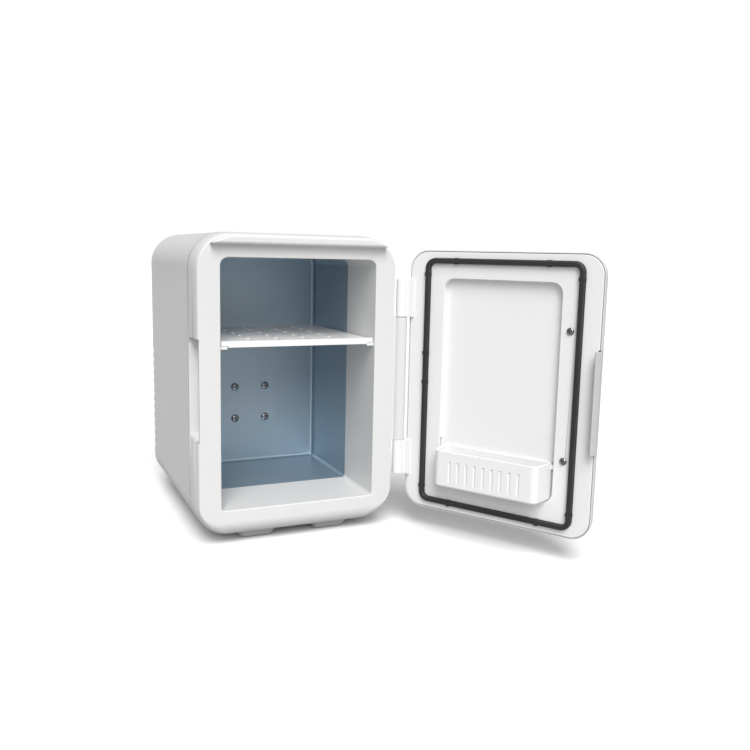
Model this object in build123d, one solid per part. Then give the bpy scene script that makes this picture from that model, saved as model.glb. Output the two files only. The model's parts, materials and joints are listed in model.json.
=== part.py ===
from build123d import *
import math
import os

# A small thermoelectric fridge. Millimetres, +Z up, the door on the -Y side, the hinge on the +X side.
# The origin is at the centre of the cabinet's footprint, on the plane of the soles of the feet.

# ---------------------------------------------------------------- driving dimensions
cabinet_width = 182.0
cabinet_depth = 218.0
cabinet_height = 260.5          # underside of the shell to its top, without the feet
cabinet_corner = 30.0           # radius of the four long edges
foot_height = 7.5

opening_width = 140.0
opening_height = 215.0
opening_sill = 24.5             # underside of the shell to the floor of the cavity
opening_corner = 7.0            # the two upper corners
opening_low_corner = 3.0
interior_depth = 162.0
throat_depth = 66.0             # plastic front part of the cavity, the metal liner follows it

shell_wall = 2.4
throat_wall = 2.2
plate_wall = 3.0                # front plate round the opening
liner_wall = 1.0
fit_gap = 0.3                   # between pieces that are pushed into each other
slide_gap = 0.4                 # between pieces that move past each other
pin_gap = 0.05                  # radial, round every shaft and pin

bezel_depth = 30.0
edge_roll = 2.5                 # how far the rounded front edge draws in at the sides and the top
toe_roll = 14.0                 # radius of the front edge along the bottom
brow_height = 10.0              # lip above the door
brow_reach = 8.0
lip_depth = 6.0                 # tongue of the bezel and of the rear cover inside the shell

rear_cover_depth = 12.0
rear_edge = 6.0
louvre_count = 12
louvre_pitch = 9.2
louvre_height = 4.0
louvre_first = 37.5             # above the underside of the shell
louvre_reach = 22.0             # along the back, from the side

liner_bend = 3.0                # inside radius of the liner's back edges
insulation_back = 15.0          # foam behind the liner

door_height = 234.5
door_side = 88.8                # free side, from the middle of the cabinet
door_hinge_side = 90.2          # hinge side
door_corner = 18.0
door_depth = 26.0               # rim to the flat front of the door
door_shoulder = 24.0            # how far the rounded shoulder draws in
door_wall = 2.4
panel_setback = 4.0             # inner panel behind the front plate, where the gasket goes
panel_wall = 2.6
panel_inset = 1.4               # inner panel inside the rim of the door, in a rebate
rebate_gap = 0.6
recess_width = 108.8
recess_top = 225.1              # above the underside of the shell
recess_bottom = 42.0
recess_depth = 6.0
recess_corner = 9.0

gasket_overhang = 2.8           # outside the edge of the opening
gasket_width = 4.2
gasket_corner = 9.0
gasket_gap = 0.4                # crown to front plate with the door shut
gasket_root = 1.0
nub_length = 3.0
nub_reach = 0.7

hinge_out = 5.0                 # hinge axis outside the side of the cabinet
hinge_radius = 5.2
hinge_pin_radius = 1.6
hinge_pin_grip = 26.0           # length of pin inside the cabinet's barrel
barrel_low = 75.7               # heights above the underside of the shell
barrel_high = 188.8
knuckle_low = 43.5
knuckle_high = 223.1
knuckle_gap = 0.4
open_angle = 121.0              # how far the door stands open at rest

latch_low = 90.0                # above the underside of the shell
latch_high = 172.5
latch_gap = 0.5
latch_tooth = 1.1
latch_arm = 2.2
latch_pin_radius = 1.0
recess_grip_low = 84.0
recess_grip_high = 172.5
recess_grip_depth = 9.0
recess_grip_back = 27.0
recess_grip_wall = 2.0

shelf_level = 169.0             # top of the shelf above the underside of the shell
shelf_plate = 3.0
shelf_depth = 147.5
shelf_rim_rise = 1.3
shelf_rim_drop = 4.2
shelf_rim = 2.4
shelf_columns = 4
shelf_column_pitch = 25.5
shelf_rows = 5
shelf_row_pitch = 26.5
shelf_slot = 3.6
rail_width = 6.4
rail_height = 2.8
rail_start = 3.0

basket_half = 51.5              # at the door; the sides draw in towards its front
basket_draw = 3.0
basket_front = 16.0             # in front of the plane of the front plate
basket_low = 43.3
basket_high = 75.8
basket_wall = 1.8
basket_corner = 6.5
flute_count = 9
flute_pitch = 8.1
flute_radius = 1.1
basket_lift = 7.0

cooler_level = 87.5             # centre of the cooler above the underside of the shell
cold_block_side = 50.0
cold_block_depth = 16.0
liner_screw_x = 16.15
liner_screw_z = 16.8
module_side = 40.0
module_ceramic = 0.8
module_pellets = 2.0
sink_side = 96.0
sink_base = 3.0
sink_fin = 10.0
sink_fins = 16
sink_fin_wall = 1.2
fan_side = 80.0
fan_depth = 15.0
fan_duct = 37.5
fan_blade_gap = 1.0
fan_hub = 13.0
fan_blades = 7
fan_hole = 35.75                # fixing holes from the fan's centre
fan_shaft = 1.5

handle_pocket_x = 128.0
handle_pocket_y = 56.0
handle_pocket_depth = 11.0
handle_pivot_back = 6.0         # from the pocket's front wall to the pivot
handle_grip = 14.0
handle_thickness = 8.0
handle_arm = 8.0
handle_pin_radius = 2.0

foot_x = 34.5
foot_inset = 31.0               # foot's centre behind the front plate, and before the back
foot_screw_shift = 5.0          # screw from the foot's centre towards the nearer end
foot_bore = 3.8                 # depth of the screw's counterbore
foot_top_x = 36.0
foot_top_y = 36.0
foot_sole_x = 29.0
foot_sole_y = 29.0
foot_sole_roll = 4.0

panel_level = 227.5             # sockets and switch above the underside of the shell
dc_socket_x = -6.0
ac_inlet_x = -48.0
switch_x = 46.0
lights_x = 22.0

# ---------------------------------------------------------------- places worked out from them
front = -cabinet_depth / 2
back = cabinet_depth / 2
base = foot_height
top = base + cabinet_height
side = cabinet_width / 2
floor_level = base + opening_sill
ceiling_level = floor_level + opening_height
opening_middle = (floor_level + ceiling_level) / 2
half_opening = opening_width / 2
inner_side = side - shell_wall
skirt_side = side - edge_roll - throat_wall     # inside of the bezel's skirt
skirt_inset = side - skirt_side
liner_clear = half_opening + fit_gap
liner_back = front + interior_depth
cover_front = back - rear_cover_depth
cooler_z = base + cooler_level
cold_face = liner_back + liner_wall
module_face = cold_face + cold_block_depth
sink_face = module_face + 2 * module_ceramic + module_pellets
fan_face = sink_face + sink_base + sink_fin + fit_gap
hinge_x = side + hinge_out
door_low = opening_middle - door_height / 2
door_high = opening_middle + door_height / 2
rim = front - panel_setback - 0.5               # edge of the door's shell, door shut
panel_face = front - panel_setback
recess_floor = panel_face - recess_depth
shelf_top = base + shelf_level


# ---------------------------------------------------------------- helpers
def section(y):
    """A sketch plane that faces the front, with X to the right and Z up."""
    return Plane(origin=(0, y, 0), x_dir=(1, 0, 0), z_dir=(0, -1, 0))


def slab(profile, y0, y1):
    """A front-view profile, as thick as from y0 to y1."""
    return extrude(section(y0) * profile, amount=-(y1 - y0))


def outline(half_width, low, high, radius):
    """A rounded rectangle in front view."""
    return Pos(0, (low + high) / 2) * RectangleRounded(2 * half_width, high - low, radius)


def block(x, y, z):
    """A box from three pairs of limits."""
    size = [abs(b - a) for a, b in (x, y, z)]
    middle = [(a + b) / 2 for a, b in (x, y, z)]
    return Pos(*middle) * Box(*size)


def rod(radius, start, end):
    """A round bar between two points on a line along X, Y or Z."""
    axis = [b - a for a, b in zip(start, end)]
    plane = Plane(origin=start, z_dir=axis)
    return extrude(plane * Circle(radius), amount=math.dist(start, end))


def cabinet_outline(inset, radius_inset=None):
    shrink = inset if radius_inset is None else radius_inset
    return outline(side - inset, base + inset, top - inset, cabinet_corner - shrink)


def two_corner_outline(half_width, low, high, upper_radius, lower_radius):
    """A rectangle in front view whose upper and lower corners have their own radii."""
    face = Pos(0, (low + high) / 2) * Rectangle(2 * half_width, high - low)
    face = fillet(face.vertices().group_by(Axis.Y)[-1], upper_radius)
    return fillet(face.vertices().group_by(Axis.Y)[0], lower_radius)


def cavity_outline(grow):
    return two_corner_outline(half_opening + grow, floor_level - grow, ceiling_level + grow,
                              opening_corner + grow, opening_low_corner + grow)


def roll(depth, radius, reach):
    """How far an edge with this radius draws in at a depth behind the front, over its reach."""
    left = max(0.0, 1 - depth / reach)
    return radius * (1 - math.sqrt(1 - left ** 2))


def skirt_hollow(gap):
    """The space inside the bezel's skirt, shrunk by gap, with a step that clears the rolled bottom edge."""
    step = toe_roll - 4.0
    start = front + plate_wall + gap
    side_inset = skirt_inset + gap
    radius = cabinet_corner - side_inset
    toe = two_corner_outline(side - side_inset, base + step + gap, top - side_inset, radius, cabinet_corner - step - gap)
    hollow = slab(toe, start, front + toe_roll / 2 + 1)
    return hollow + slab(cabinet_outline(side_inset), front + toe_roll / 2 + 0.5 + gap, front + bezel_depth + 1)


def quarter_steps(count):
    """Angles of a quarter turn, as sine and cosine."""
    return [(math.sin(a), math.cos(a)) for a in (k * math.pi / 2 / count for k in range(count + 1))]


def pan_screw(x, z, head_y, tip_y, head_radius, shank_radius, head_height, into):
    """A pan-head screw along Y with a cross recess; its head's underside is at head_y. into is +1 or -1."""
    crown = head_y - into * head_height
    screw = rod(shank_radius, (x, head_y, z), (x, tip_y, z)) + rod(head_radius, (x, crown, z), (x, head_y, z))
    arm = head_radius * 0.62
    blade = head_radius * 0.17
    deep = crown + into * head_height * 0.55
    cross = block((x - arm, x + arm), (crown, deep), (z - blade, z + blade))
    cross += block((x - blade, x + blade), (crown, deep), (z - arm, z + arm))
    return screw - cross


def grip_pocket(x0, x1, y0, wall):
    """The finger recess in the left side, from x0 to x1, with rounded back corners."""
    low = base + recess_grip_low - wall
    high = base + recess_grip_high + wall
    deep = front + recess_grip_back + wall
    flat = Plane(origin=(x0, 0, 0), x_dir=(0, 1, 0), z_dir=(1, 0, 0))
    profile = Pos((y0 + deep) / 2, (low + high) / 2) * Rectangle(deep - y0, high - low)
    profile = fillet(profile.vertices().group_by(Axis.X)[-1], 6.0 + wall)
    return extrude(flat * profile, amount=x1 - x0)


# ---------------------------------------------------------------- cabinet
def front_frame():
    rings = []
    depths = [toe_roll * (1 - cosine) for sine, cosine in quarter_steps(9)]
    for depth in depths + [19.0, 24.0, bezel_depth]:
        inset = roll(depth, edge_roll, bezel_depth)
        toe = roll(depth, toe_roll, toe_roll)
        rings.append(section(front + depth) * two_corner_outline(
            side - inset, base + toe, top - inset, cabinet_corner, cabinet_corner - toe))
    body = loft(rings, ruled=True)
    brow = slab(cabinet_outline(edge_roll, 0), front - brow_reach, front + 1)
    brow &= block((-side, side), (front - brow_reach, front + 1), (top - brow_height, top))
    brow = fillet(brow.edges().group_by(Axis.Y)[0], 2.4)
    body += brow
    body -= skirt_hollow(0)
    tongue = cabinet_outline(shell_wall + 0.2) - cabinet_outline(skirt_inset)
    body += slab(tongue, front + bezel_depth - 2, front + bezel_depth + lip_depth)
    body += slab(cavity_outline(throat_wall), front + 1, front + throat_depth)
    body += grip_pocket(-skirt_side - 1.5, -half_opening - 7, front + 1, recess_grip_wall)
    body -= grip_pocket(-side - 1, -side + 3, front - 1, 0)
    pocket_floor = -side + 3 + recess_grip_depth
    body -= grip_pocket(-side + 2, pocket_floor, front + plate_wall, 0)
    body -= slab(cavity_outline(0), front - 1, front + throat_depth + 1)
    low = base + barrel_low
    high = base + barrel_high
    barrel = rod(hinge_radius, (hinge_x, front, low), (hinge_x, front, high))
    barrel += block((side - 4, hinge_x), (front + 0.2, front + hinge_radius), (low, high))
    body += barrel
    bore = hinge_pin_radius + pin_gap
    body -= rod(bore, (hinge_x, front, low - 1), (hinge_x, front, low + hinge_pin_grip + 1))
    body -= rod(bore, (hinge_x, front, high - hinge_pin_grip - 1), (hinge_x, front, high + 1))
    for x, y in foot_screw_places():
        if y < 0:
            body -= rod(1.6, (x, y, base - 1), (x, y, base + skirt_inset + 1))
    rim_edges = body.edges().filter_by_position(Axis.Y, front - 0.01, front + 0.01)
    lip = [e for e in rim_edges if abs(e.center().X) < half_opening + 0.5
           and floor_level - 0.5 < e.center().Z < ceiling_level + 0.5]
    return fillet(lip, 0.9)


def outer_shell():
    end = cover_front
    body = slab(cabinet_outline(0) - cabinet_outline(shell_wall), front + bezel_depth, end)
    half_x = handle_pocket_x / 2
    half_y = handle_pocket_y / 2
    tray = block((-half_x - 2, half_x + 2), (-half_y - 2, half_y + 2), (top - handle_pocket_depth - 2, top - 1))
    pocket = block((-half_x, half_x), (-half_y, half_y), (top - handle_pocket_depth, top + 1))
    pocket = fillet(pocket.edges().filter_by(Axis.Z), 1.5)
    body = body + tray - pocket
    pivot_y, pivot_z = handle_pivot()
    body -= rod(handle_pin_radius, (-half_x - 3, pivot_y, pivot_z), (half_x + 3, pivot_y, pivot_z))
    for x, y in foot_screw_places():
        if y > 0:
            body -= rod(1.6, (x, y, base - 1), (x, y, base + shell_wall + 1))
    for x, z in cover_screw_places():
        edge = math.copysign(inner_side + 0.6, x)
        post = rod(4.0, (x, end - 24, z), (x, end, z))
        post += block((x, edge), (end - 24, end), (z - 1.5, z + 1.5))
        post -= rod(1.5, (x, end - 20, z), (x, end + 1, z))
        body += post
    return body


def cover_screw_places():
    z_low = base + cabinet_corner + 4
    z_high = top - cabinet_corner - 4
    return [(x, z) for x in (-side + 12, side - 12) for z in (z_low, z_high)]


def rear_cover():
    body = slab(cabinet_outline(0), cover_front, back)
    body = fillet(body.edges().group_by(Axis.Y)[-1], rear_edge)
    body -= slab(cabinet_outline(shell_wall), cover_front - 1, back - shell_wall - 3)
    body -= slab(cabinet_outline(rear_edge + 1), cover_front - 1, back - shell_wall)
    tongue = cabinet_outline(shell_wall + 0.2) - cabinet_outline(shell_wall + 2.2)
    root = cabinet_outline(1) - cabinet_outline(shell_wall + 2.2)
    body += slab(tongue, cover_front - lip_depth, cover_front + 1) + slab(root, cover_front, cover_front + 2)
    for x, z in cover_screw_places():
        body -= block((x - 7, math.copysign(side, x)), (cover_front - lip_depth - 1, cover_front), (z - 7, z + 7))
        body += rod(4.5, (x, cover_front, z), (x, back - 1, z))
        body -= rod(1.9, (x, cover_front - 1, z), (x, back + 1, z))
        body -= rod(3.4, (x, back - 3, z), (x, back + 1, z))
    for k in range(louvre_count):
        z = base + louvre_first + k * louvre_pitch
        for x0, x1 in ((-side - 1, -side + louvre_reach), (side - louvre_reach, side + 1)):
            body -= block((x0, x1), (cover_front + 3.5, back + 1), (z - louvre_height / 2, z + louvre_height / 2))
    body -= fan_grille()
    z = base + panel_level
    body -= block((ac_inlet_x - 12, ac_inlet_x + 12), (back - 6, back + 1), (z - 8, z + 8))
    body -= rod(7.2, (dc_socket_x, back - 6, z), (dc_socket_x, back + 1, z))
    body -= block((switch_x - 6.8, switch_x + 6.8), (back - 6, back + 1), (z - 9.8, z + 9.8))
    for dz in (-5, 5):
        body -= rod(1.6, (lights_x, back - 6, z + dz), (lights_x, back + 1, z + dz))
    for x, z in board_screw_places():
        post = rod(3.0, (x, board_back, z), (x, back - 1, z))
        body += post - rod(1.3, (x, board_back - 1, z), (x, back - 4, z))
    return body


def fan_grille():
    """Horizontal slots in a round field behind the fan."""
    slots = []
    field = fan_duct + 1
    pitch = 6.4
    rows = int(field // pitch)
    for k in range(-rows, rows + 1):
        reach = math.sqrt(field ** 2 - (k * pitch) ** 2) - 1
        if reach > 4:
            slots.append(Pos(0, cooler_z + k * pitch) * SlotOverall(2 * reach, 3.4))
    return slab(Sketch() + slots, back - 6, back + 1)


def pressed_pan(grow, start, end, bend):
    """A block with the cavity's outline whose back edges are rounded."""
    pan = slab(cavity_outline(grow), start, end)
    return fillet(pan.edges().group_by(Axis.Y)[-1], bend)


def liner():
    start = front + throat_depth
    body = pressed_pan(fit_gap + liner_wall, start - 1, liner_back + liner_wall, liner_bend + liner_wall)
    collar = cavity_outline(throat_wall + 0.2 + liner_wall)
    body += slab(collar, start - 7, start + liner_wall + 0.2)
    body -= slab(cavity_outline(throat_wall + 0.2), start - 8, start + 0.2)
    body -= pressed_pan(fit_gap, start - 2, liner_back, liner_bend)
    for x, z in liner_screw_places():
        body -= rod(1.8, (x, liner_back - 1, z), (x, cold_face + 1, z))
    return body


def liner_screw_places():
    return [(x, cooler_z + z) for x in (-liner_screw_x, liner_screw_x) for z in (-liner_screw_z, liner_screw_z)]


def liner_screws():
    return [pan_screw(x, z, liner_back, liner_back + 11, 4.0, 1.6, 2.2, 1) for x, z in liner_screw_places()]


def insulation():
    gap = fit_gap
    start = front + plate_wall + gap
    end = cold_face + insulation_back
    body = skirt_hollow(gap) + slab(cabinet_outline(skirt_inset + gap), front + bezel_depth, end)
    collar_end = front + throat_depth + liner_wall + 0.2 + gap
    body -= slab(cavity_outline(throat_wall + 0.2 + liner_wall + gap), start - 1, collar_end)
    body -= slab(cavity_outline(fit_gap + liner_wall + gap), start - 1, cold_face + gap)
    half = cold_block_side / 2 + gap
    body -= block((-half, half), (cold_face - 1, end + 1), (cooler_z - half, cooler_z + half))
    body -= grip_pocket(-side, -half_opening - 7 + gap, start - 1, recess_grip_wall + gap)
    half_x = handle_pocket_x / 2 + 2 + gap
    half_y = handle_pocket_y / 2 + 2 + gap
    body -= block((-half_x, half_x), (-half_y, half_y), (top - handle_pocket_depth - 2 - gap, top))
    return body


def shelf_rails():
    y0 = front + rail_start
    y1 = front + rail_start + shelf_depth
    z1 = shelf_top - shelf_plate - 0.1
    inner = half_opening - rail_width
    return [block((s * inner, s * half_opening), (y0, y1), (z1 - rail_height, z1)) for s in (-1, 1)]


def shelf():
    half = half_opening - 1.0
    y0 = front + rail_start - 0.5
    y1 = y0 + shelf_depth
    low = shelf_top - shelf_plate
    body = block((-half, half), (y0, y1), (low, shelf_top))
    body += block((-half, half), (y0, y0 + shelf_rim), (low, shelf_top + shelf_rim_rise))
    clear = half_opening - rail_width - slide_gap
    body += block((-clear, clear), (y0, y0 + shelf_rim), (shelf_top - shelf_rim_drop, shelf_top))
    slot_length = shelf_row_pitch - 5.0
    first_x = -(shelf_columns - 1) / 2 * shelf_column_pitch
    first_y = (y0 + y1) / 2 - (shelf_rows - 1) / 2 * shelf_row_pitch
    for i in range(shelf_columns):
        for j in range(shelf_rows):
            x = first_x + i * shelf_column_pitch
            y = first_y + j * shelf_row_pitch
            slot = Pos(x, y) * SlotOverall(slot_length, shelf_slot, rotation=90)
            body -= extrude(Plane.XY.offset(low - 1) * slot, amount=shelf_plate + 2)
    return body


# ---------------------------------------------------------------- cooler at the back
def cold_block():
    half = cold_block_side / 2
    body = block((-half, half), (cold_face, module_face), (cooler_z - half, cooler_z + half))
    for x, z in liner_screw_places():
        body -= rod(1.6, (x, cold_face - 1, z), (x, cold_face + 11, z))
    for x in (-22.4, 22.4):
        body -= rod(1.3, (x, module_face - 10, cooler_z), (x, module_face + 1, cooler_z))
    return body


def cooling_module():
    half = module_side / 2
    inner = half - 2.0
    y1 = module_face + module_ceramic
    y2 = y1 + module_pellets
    cold = block((-half, half), (module_face, y1), (cooler_z - half, cooler_z + half))
    pellets = block((-inner, inner), (y1, y2), (cooler_z - inner, cooler_z + inner))
    hot = block((-half, half), (y2, y2 + module_ceramic), (cooler_z - half, cooler_z + half))
    return [cold, pellets, hot]


def heat_sink():
    half = sink_side / 2
    y1 = sink_face + sink_base
    y2 = y1 + sink_fin
    body = block((-half, half), (sink_face, y1), (cooler_z - half, cooler_z + half))
    pitch = (sink_side - sink_fin_wall) / (sink_fins - 1)
    for k in range(sink_fins):
        x = -half + k * pitch
        body += block((x, x + sink_fin_wall), (sink_face, y2), (cooler_z - half, cooler_z + half))
    for x in (-22.4, 22.4):
        body -= rod(4.0, (x, y1, cooler_z), (x, y2 + 1, cooler_z))
        body -= rod(1.7, (x, sink_face - 1, cooler_z), (x, y2, cooler_z))
    for x, z in fan_screw_places():
        body += rod(4.0, (x, y1 - 1, z), (x, y2, z))
        body -= rod(1.6, (x, sink_face + 1, z), (x, y2 + 1, z))
    return body


def heat_sink_screws():
    head = sink_face + sink_base
    return [pan_screw(x, cooler_z, head, module_face - 9, 2.9, 1.3, 2.0, -1) for x in (-22.4, 22.4)]


def fan_screw_places():
    return [(x, cooler_z + z) for x in (-fan_hole, fan_hole) for z in (-fan_hole, fan_hole)]


def fan_screws():
    head = fan_face + fan_depth
    return [pan_screw(x, z, head, sink_face + 2, 3.2, 1.6, 2.0, -1) for x, z in fan_screw_places()]


def fan_frame():
    y0 = fan_face
    y1 = fan_face + fan_depth
    half = fan_side / 2
    body = slab(outline(half, cooler_z - half, cooler_z + half, 5.0), y0, y1)
    body -= rod(fan_duct, (0, y0 - 1, cooler_z), (0, y1 + 1, cooler_z))
    motor_y = y1 - 2.5
    for k in range(4):
        spoke = block((-1.6, 1.6), (motor_y, y1), (cooler_z, cooler_z + fan_duct + 1))
        body += spoke.rotate(Axis((0, 0, cooler_z), (0, 1, 0)), 45 + 90 * k)
    body += rod(fan_hub, (0, motor_y, cooler_z), (0, y1, cooler_z))
    body += rod(4.0, (0, y0 + 4, cooler_z), (0, motor_y + 1, cooler_z))
    body -= rod(fan_shaft + pin_gap, (0, y0, cooler_z), (0, y1 - 1, cooler_z))
    for x, z in fan_screw_places():
        body -= rod(1.9, (x, y0 - 1, z), (x, y1 + 1, z))
    return body


def fan_rotor():
    y0 = fan_face + 1.0
    y1 = fan_face + fan_depth - 2.5 - 1.0
    axis = Axis((0, 0, cooler_z), (0, 1, 0))
    body = rod(fan_hub, (0, y0, cooler_z), (0, y1, cooler_z))
    body -= rod(fan_hub - 2.0, (0, y0 + 2, cooler_z), (0, y1 + 1, cooler_z))
    reach = fan_duct - fan_blade_gap
    middle = (y0 + y1) / 2
    blade = Pos(0, middle, cooler_z + (fan_hub + reach) / 2 - 0.5) * Box(14.0, 1.4, reach - fan_hub + 1.0)
    blade = blade.rotate(Axis((0, middle, cooler_z), (0, 0, 1)), 32)
    sweep_field = rod(reach, (0, y0, cooler_z), (0, y1, cooler_z))
    blade &= sweep_field
    for k in range(fan_blades):
        body += blade.rotate(axis, 360 / fan_blades * k)
    body -= rod(fan_hub - 2.0, (0, y0 + 2, cooler_z), (0, y1 + 1, cooler_z))
    body += rod(fan_shaft, (0, y0 + 1, cooler_z), (0, fan_face + fan_depth - 2.0, cooler_z))
    return body


# ---------------------------------------------------------------- electrics
board_back = back - 20.0
board_wall = 1.6
power_board_z = base + 166.5
power_board_half = (54.0, 22.0)
switch_board_half = (20.0, 13.0)


def board_screw_places():
    px, pz = power_board_half
    places = [(x, power_board_z + z) for x in (-px + 5, px - 5) for z in (-pz + 5, pz - 5)]
    sx = switch_board_half[0] - 4
    return places + [(switch_x + x, base + panel_level - 15) for x in (-sx, sx)]


def board(x, z, half_x, half_z, parts):
    """A circuit board with parts on its front side: (dx, dz, width, height, depth)."""
    body = block((x - half_x, x + half_x), (board_back - board_wall, board_back), (z - half_z, z + half_z))
    for dx, dz, wide, high, deep in parts:
        y = board_back - board_wall
        body += block((x + dx - wide / 2, x + dx + wide / 2), (y - deep, y + 0.5),
                      (z + dz - high / 2, z + dz + high / 2))
    for sx, sz in board_screw_places():
        body -= rod(1.7, (sx, board_back - 3, sz), (sx, board_back + 1, sz))
    return body


def power_board():
    px, pz = power_board_half
    body = board(0, power_board_z, px, pz, [(-14, 0, 22, 24, 12), (14, -6, 10, 16, 9), (34, 8, 12, 8, 6)])
    y = board_back - board_wall
    for dx, dz, radius in ((-36, 4, 6.0), (28, -10, 4.0), (0, 14, 3.2)):
        body += rod(radius, (dx, y + 0.5, power_board_z + dz), (dx, y - 12, power_board_z + dz))
    return body


def switch_board():
    half_x, half_z = switch_board_half
    return board(switch_x, base + panel_level - 9, half_x, half_z, [(0, 6, 14, 6, 5), (-4, -3, 8, 6, 3)])


def board_screws():
    y = board_back - board_wall
    return [pan_screw(x, z, y, board_back + 8, 2.6, 1.2, 1.6, 1) for x, z in board_screw_places()]


def ac_inlet():
    z = base + panel_level
    x = ac_inlet_x
    body = block((x - 11.7, x + 11.7), (back - 16, back), (z - 7.7, z + 7.7))
    body += block((x - 14, x + 14), (back, back + 1.5), (z - 10, z + 10))
    mouth = Pos(x, z) * SlotOverall(17.0, 8.6)
    body -= slab(mouth, back - 12, back + 2)
    for dx in (-4.3, 4.3):
        body += rod(1.2, (x + dx, back - 13, z), (x + dx, back - 3, z))
    return body


def dc_socket():
    z = base + panel_level
    x = dc_socket_x
    body = rod(7.0, (x, back - 15, z), (x, back, z)) + rod(9.0, (x, back, z), (x, back + 1.5, z))
    body -= rod(4.6, (x, back - 12, z), (x, back + 2, z))
    return body + rod(1.0, (x, back - 13, z), (x, back - 3, z))


def switch_housing():
    z = base + panel_level
    x = switch_x
    body = block((x - 6.6, x + 6.6), (back - 13, back), (z - 9.6, z + 9.6))
    body += block((x - 8.5, x + 8.5), (back, back + 1.5), (z - 11.5, z + 11.5))
    body -= block((x - 5.5, x + 5.5), (back - 11, back + 2), (z - 8.6, z + 8.6))
    pivot = switch_pivot()
    body -= rod(1.2 + pin_gap, (x - 6.2, pivot, z), (x + 6.2, pivot, z))
    return body


def switch_pivot():
    return back - 3.0


def switch_rocker():
    z = base + panel_level
    x = switch_x
    pivot = switch_pivot()
    wide = 5.5 - 0.35
    drum = rod(8.2, (x - wide, pivot, z), (x + wide, pivot, z))
    body = drum & block((x - wide, x + wide), (pivot - 2.5, pivot + 5.2), (z - 8.2, z + 8.2))
    for turn in (-11, 11):
        wedge = Pos(x, pivot + 3.6 + 5, z) * Box(12, 10, 40)
        wedge = wedge.rotate(Axis((x, pivot + 3.6, z), (1, 0, 0)), turn)
        upper = block((x - 7, x + 7), (pivot - 5, pivot + 12), (z, z + math.copysign(20, turn)))
        body -= wedge & upper
    return body + rod(1.2, (x - 6.0, pivot, z), (x + 6.0, pivot, z))


def indicator_lights():
    z = base + panel_level
    lights = []
    for dz in (-5, 5):
        lamp = rod(1.5, (lights_x, back - 6, z + dz), (lights_x, back + 0.4, z + dz))
        lights.append(lamp + rod(1.9, (lights_x, back - 7, z + dz), (lights_x, back - 5.9, z + dz)))
    return lights


# ---------------------------------------------------------------- feet, handle, cover screws
def foot(x, y):
    upper = Plane.XY.offset(foot_height) * Pos(x, y) * RectangleRounded(foot_top_x, foot_top_y, 6.0)
    lower = Plane.XY * Pos(x, y) * RectangleRounded(foot_sole_x, foot_sole_y, 5.0)
    body = loft([lower, upper])
    body = fillet(body.edges().group_by(Axis.Z)[0], foot_sole_roll)
    screw_y = foot_screw_y(y)
    body -= rod(3.3, (x, screw_y, -1), (x, screw_y, foot_bore))
    return body - rod(1.7, (x, screw_y, 0), (x, screw_y, foot_height + 1))


def foot_screw_y(y):
    return y + math.copysign(foot_screw_shift, y)


def foot_places():
    return {
        "foot_front_left": (-foot_x, front + foot_inset),
        "foot_front_right": (foot_x, front + foot_inset),
        "foot_rear_left": (-foot_x, back - foot_inset),
        "foot_rear_right": (foot_x, back - foot_inset),
    }


def foot_screw_places():
    return [(x, foot_screw_y(y)) for x, y in foot_places().values()]


def foot_screws():
    screws = []
    crown = foot_bore - 2.2
    for x, y in foot_screw_places():
        body = rod(1.5, (x, y, foot_bore - 1), (x, y, base + skirt_inset - 0.4))
        body += rod(2.9, (x, y, crown), (x, y, foot_bore))
        slot = block((x - 1.9, x + 1.9), (y - 0.5, y + 0.5), (crown - 1, crown + 1.2))
        slot += block((x - 0.5, x + 0.5), (y - 1.9, y + 1.9), (crown - 1, crown + 1.2))
        screws.append(body - slot)
    return screws


def handle_pivot():
    return -handle_pocket_y / 2 + handle_pivot_back, top - handle_pocket_depth / 2 - 0.5


def carry_handle():
    pivot_y, pivot_z = handle_pivot()
    half = handle_pocket_x / 2 - slide_gap - 0.2
    z0 = pivot_z - handle_thickness / 2
    z1 = pivot_z + handle_thickness / 2
    far = handle_pocket_y / 2 - 5.0
    body = block((-half, half), (far - handle_grip, far), (z0, z1))
    for s in (-1, 1):
        arm = block((s * half, s * (half - handle_arm)), (pivot_y, far - 1), (z0, z1))
        arm += rod(handle_thickness / 2, (s * half, pivot_y, pivot_z), (s * (half - handle_arm), pivot_y, pivot_z))
        body += arm
    body = fillet(body.edges().filter_by(Axis.X).group_by(Axis.Y)[-1], 3.0)
    bore = handle_pin_radius + pin_gap
    return body - rod(bore, (-half - 1, pivot_y, pivot_z), (half + 1, pivot_y, pivot_z))


def handle_pins():
    pivot_y, pivot_z = handle_pivot()
    outer = handle_pocket_x / 2 + 1.9
    inner = handle_pocket_x / 2 - handle_arm
    return [rod(handle_pin_radius, (s * inner, pivot_y, pivot_z), (s * outer, pivot_y, pivot_z)) for s in (-1, 1)]


def cover_screws():
    return [pan_screw(x, z, back - 3, cover_front - 12, 3.1, 1.5, 2.2, -1) for x, z in cover_screw_places()]


# ---------------------------------------------------------------- door, modelled shut
def door_outline(inset, radius):
    """The door in front view; its hinge side reaches further out than its free side."""
    middle = (door_hinge_side - door_side) / 2
    half = (door_hinge_side + door_side) / 2 - inset
    return Pos(middle, 0) * outline(half, door_low + inset, door_high - inset, radius)


def door_form(inset):
    """The pillow-shaped outside of the door, shrunk by inset, from the rim to the flat front."""
    rings = []
    for sine, cosine in quarter_steps(6):
        draw = inset + door_shoulder * (1 - cosine)
        y = rim - (door_depth - inset) * sine
        rings.append(section(y) * door_outline(draw, door_corner - inset))
    return loft(rings)


def knuckles():
    """Heights of the door's two hinge knuckles."""
    low = (base + knuckle_low, base + barrel_low - knuckle_gap)
    high = (base + barrel_high + knuckle_gap, base + knuckle_high)
    return [low, high]


def door_screw_places():
    x = -(recess_width / 2 + 7.9)
    return [(x, base + 79.5), (x, base + 186.7)]


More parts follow.
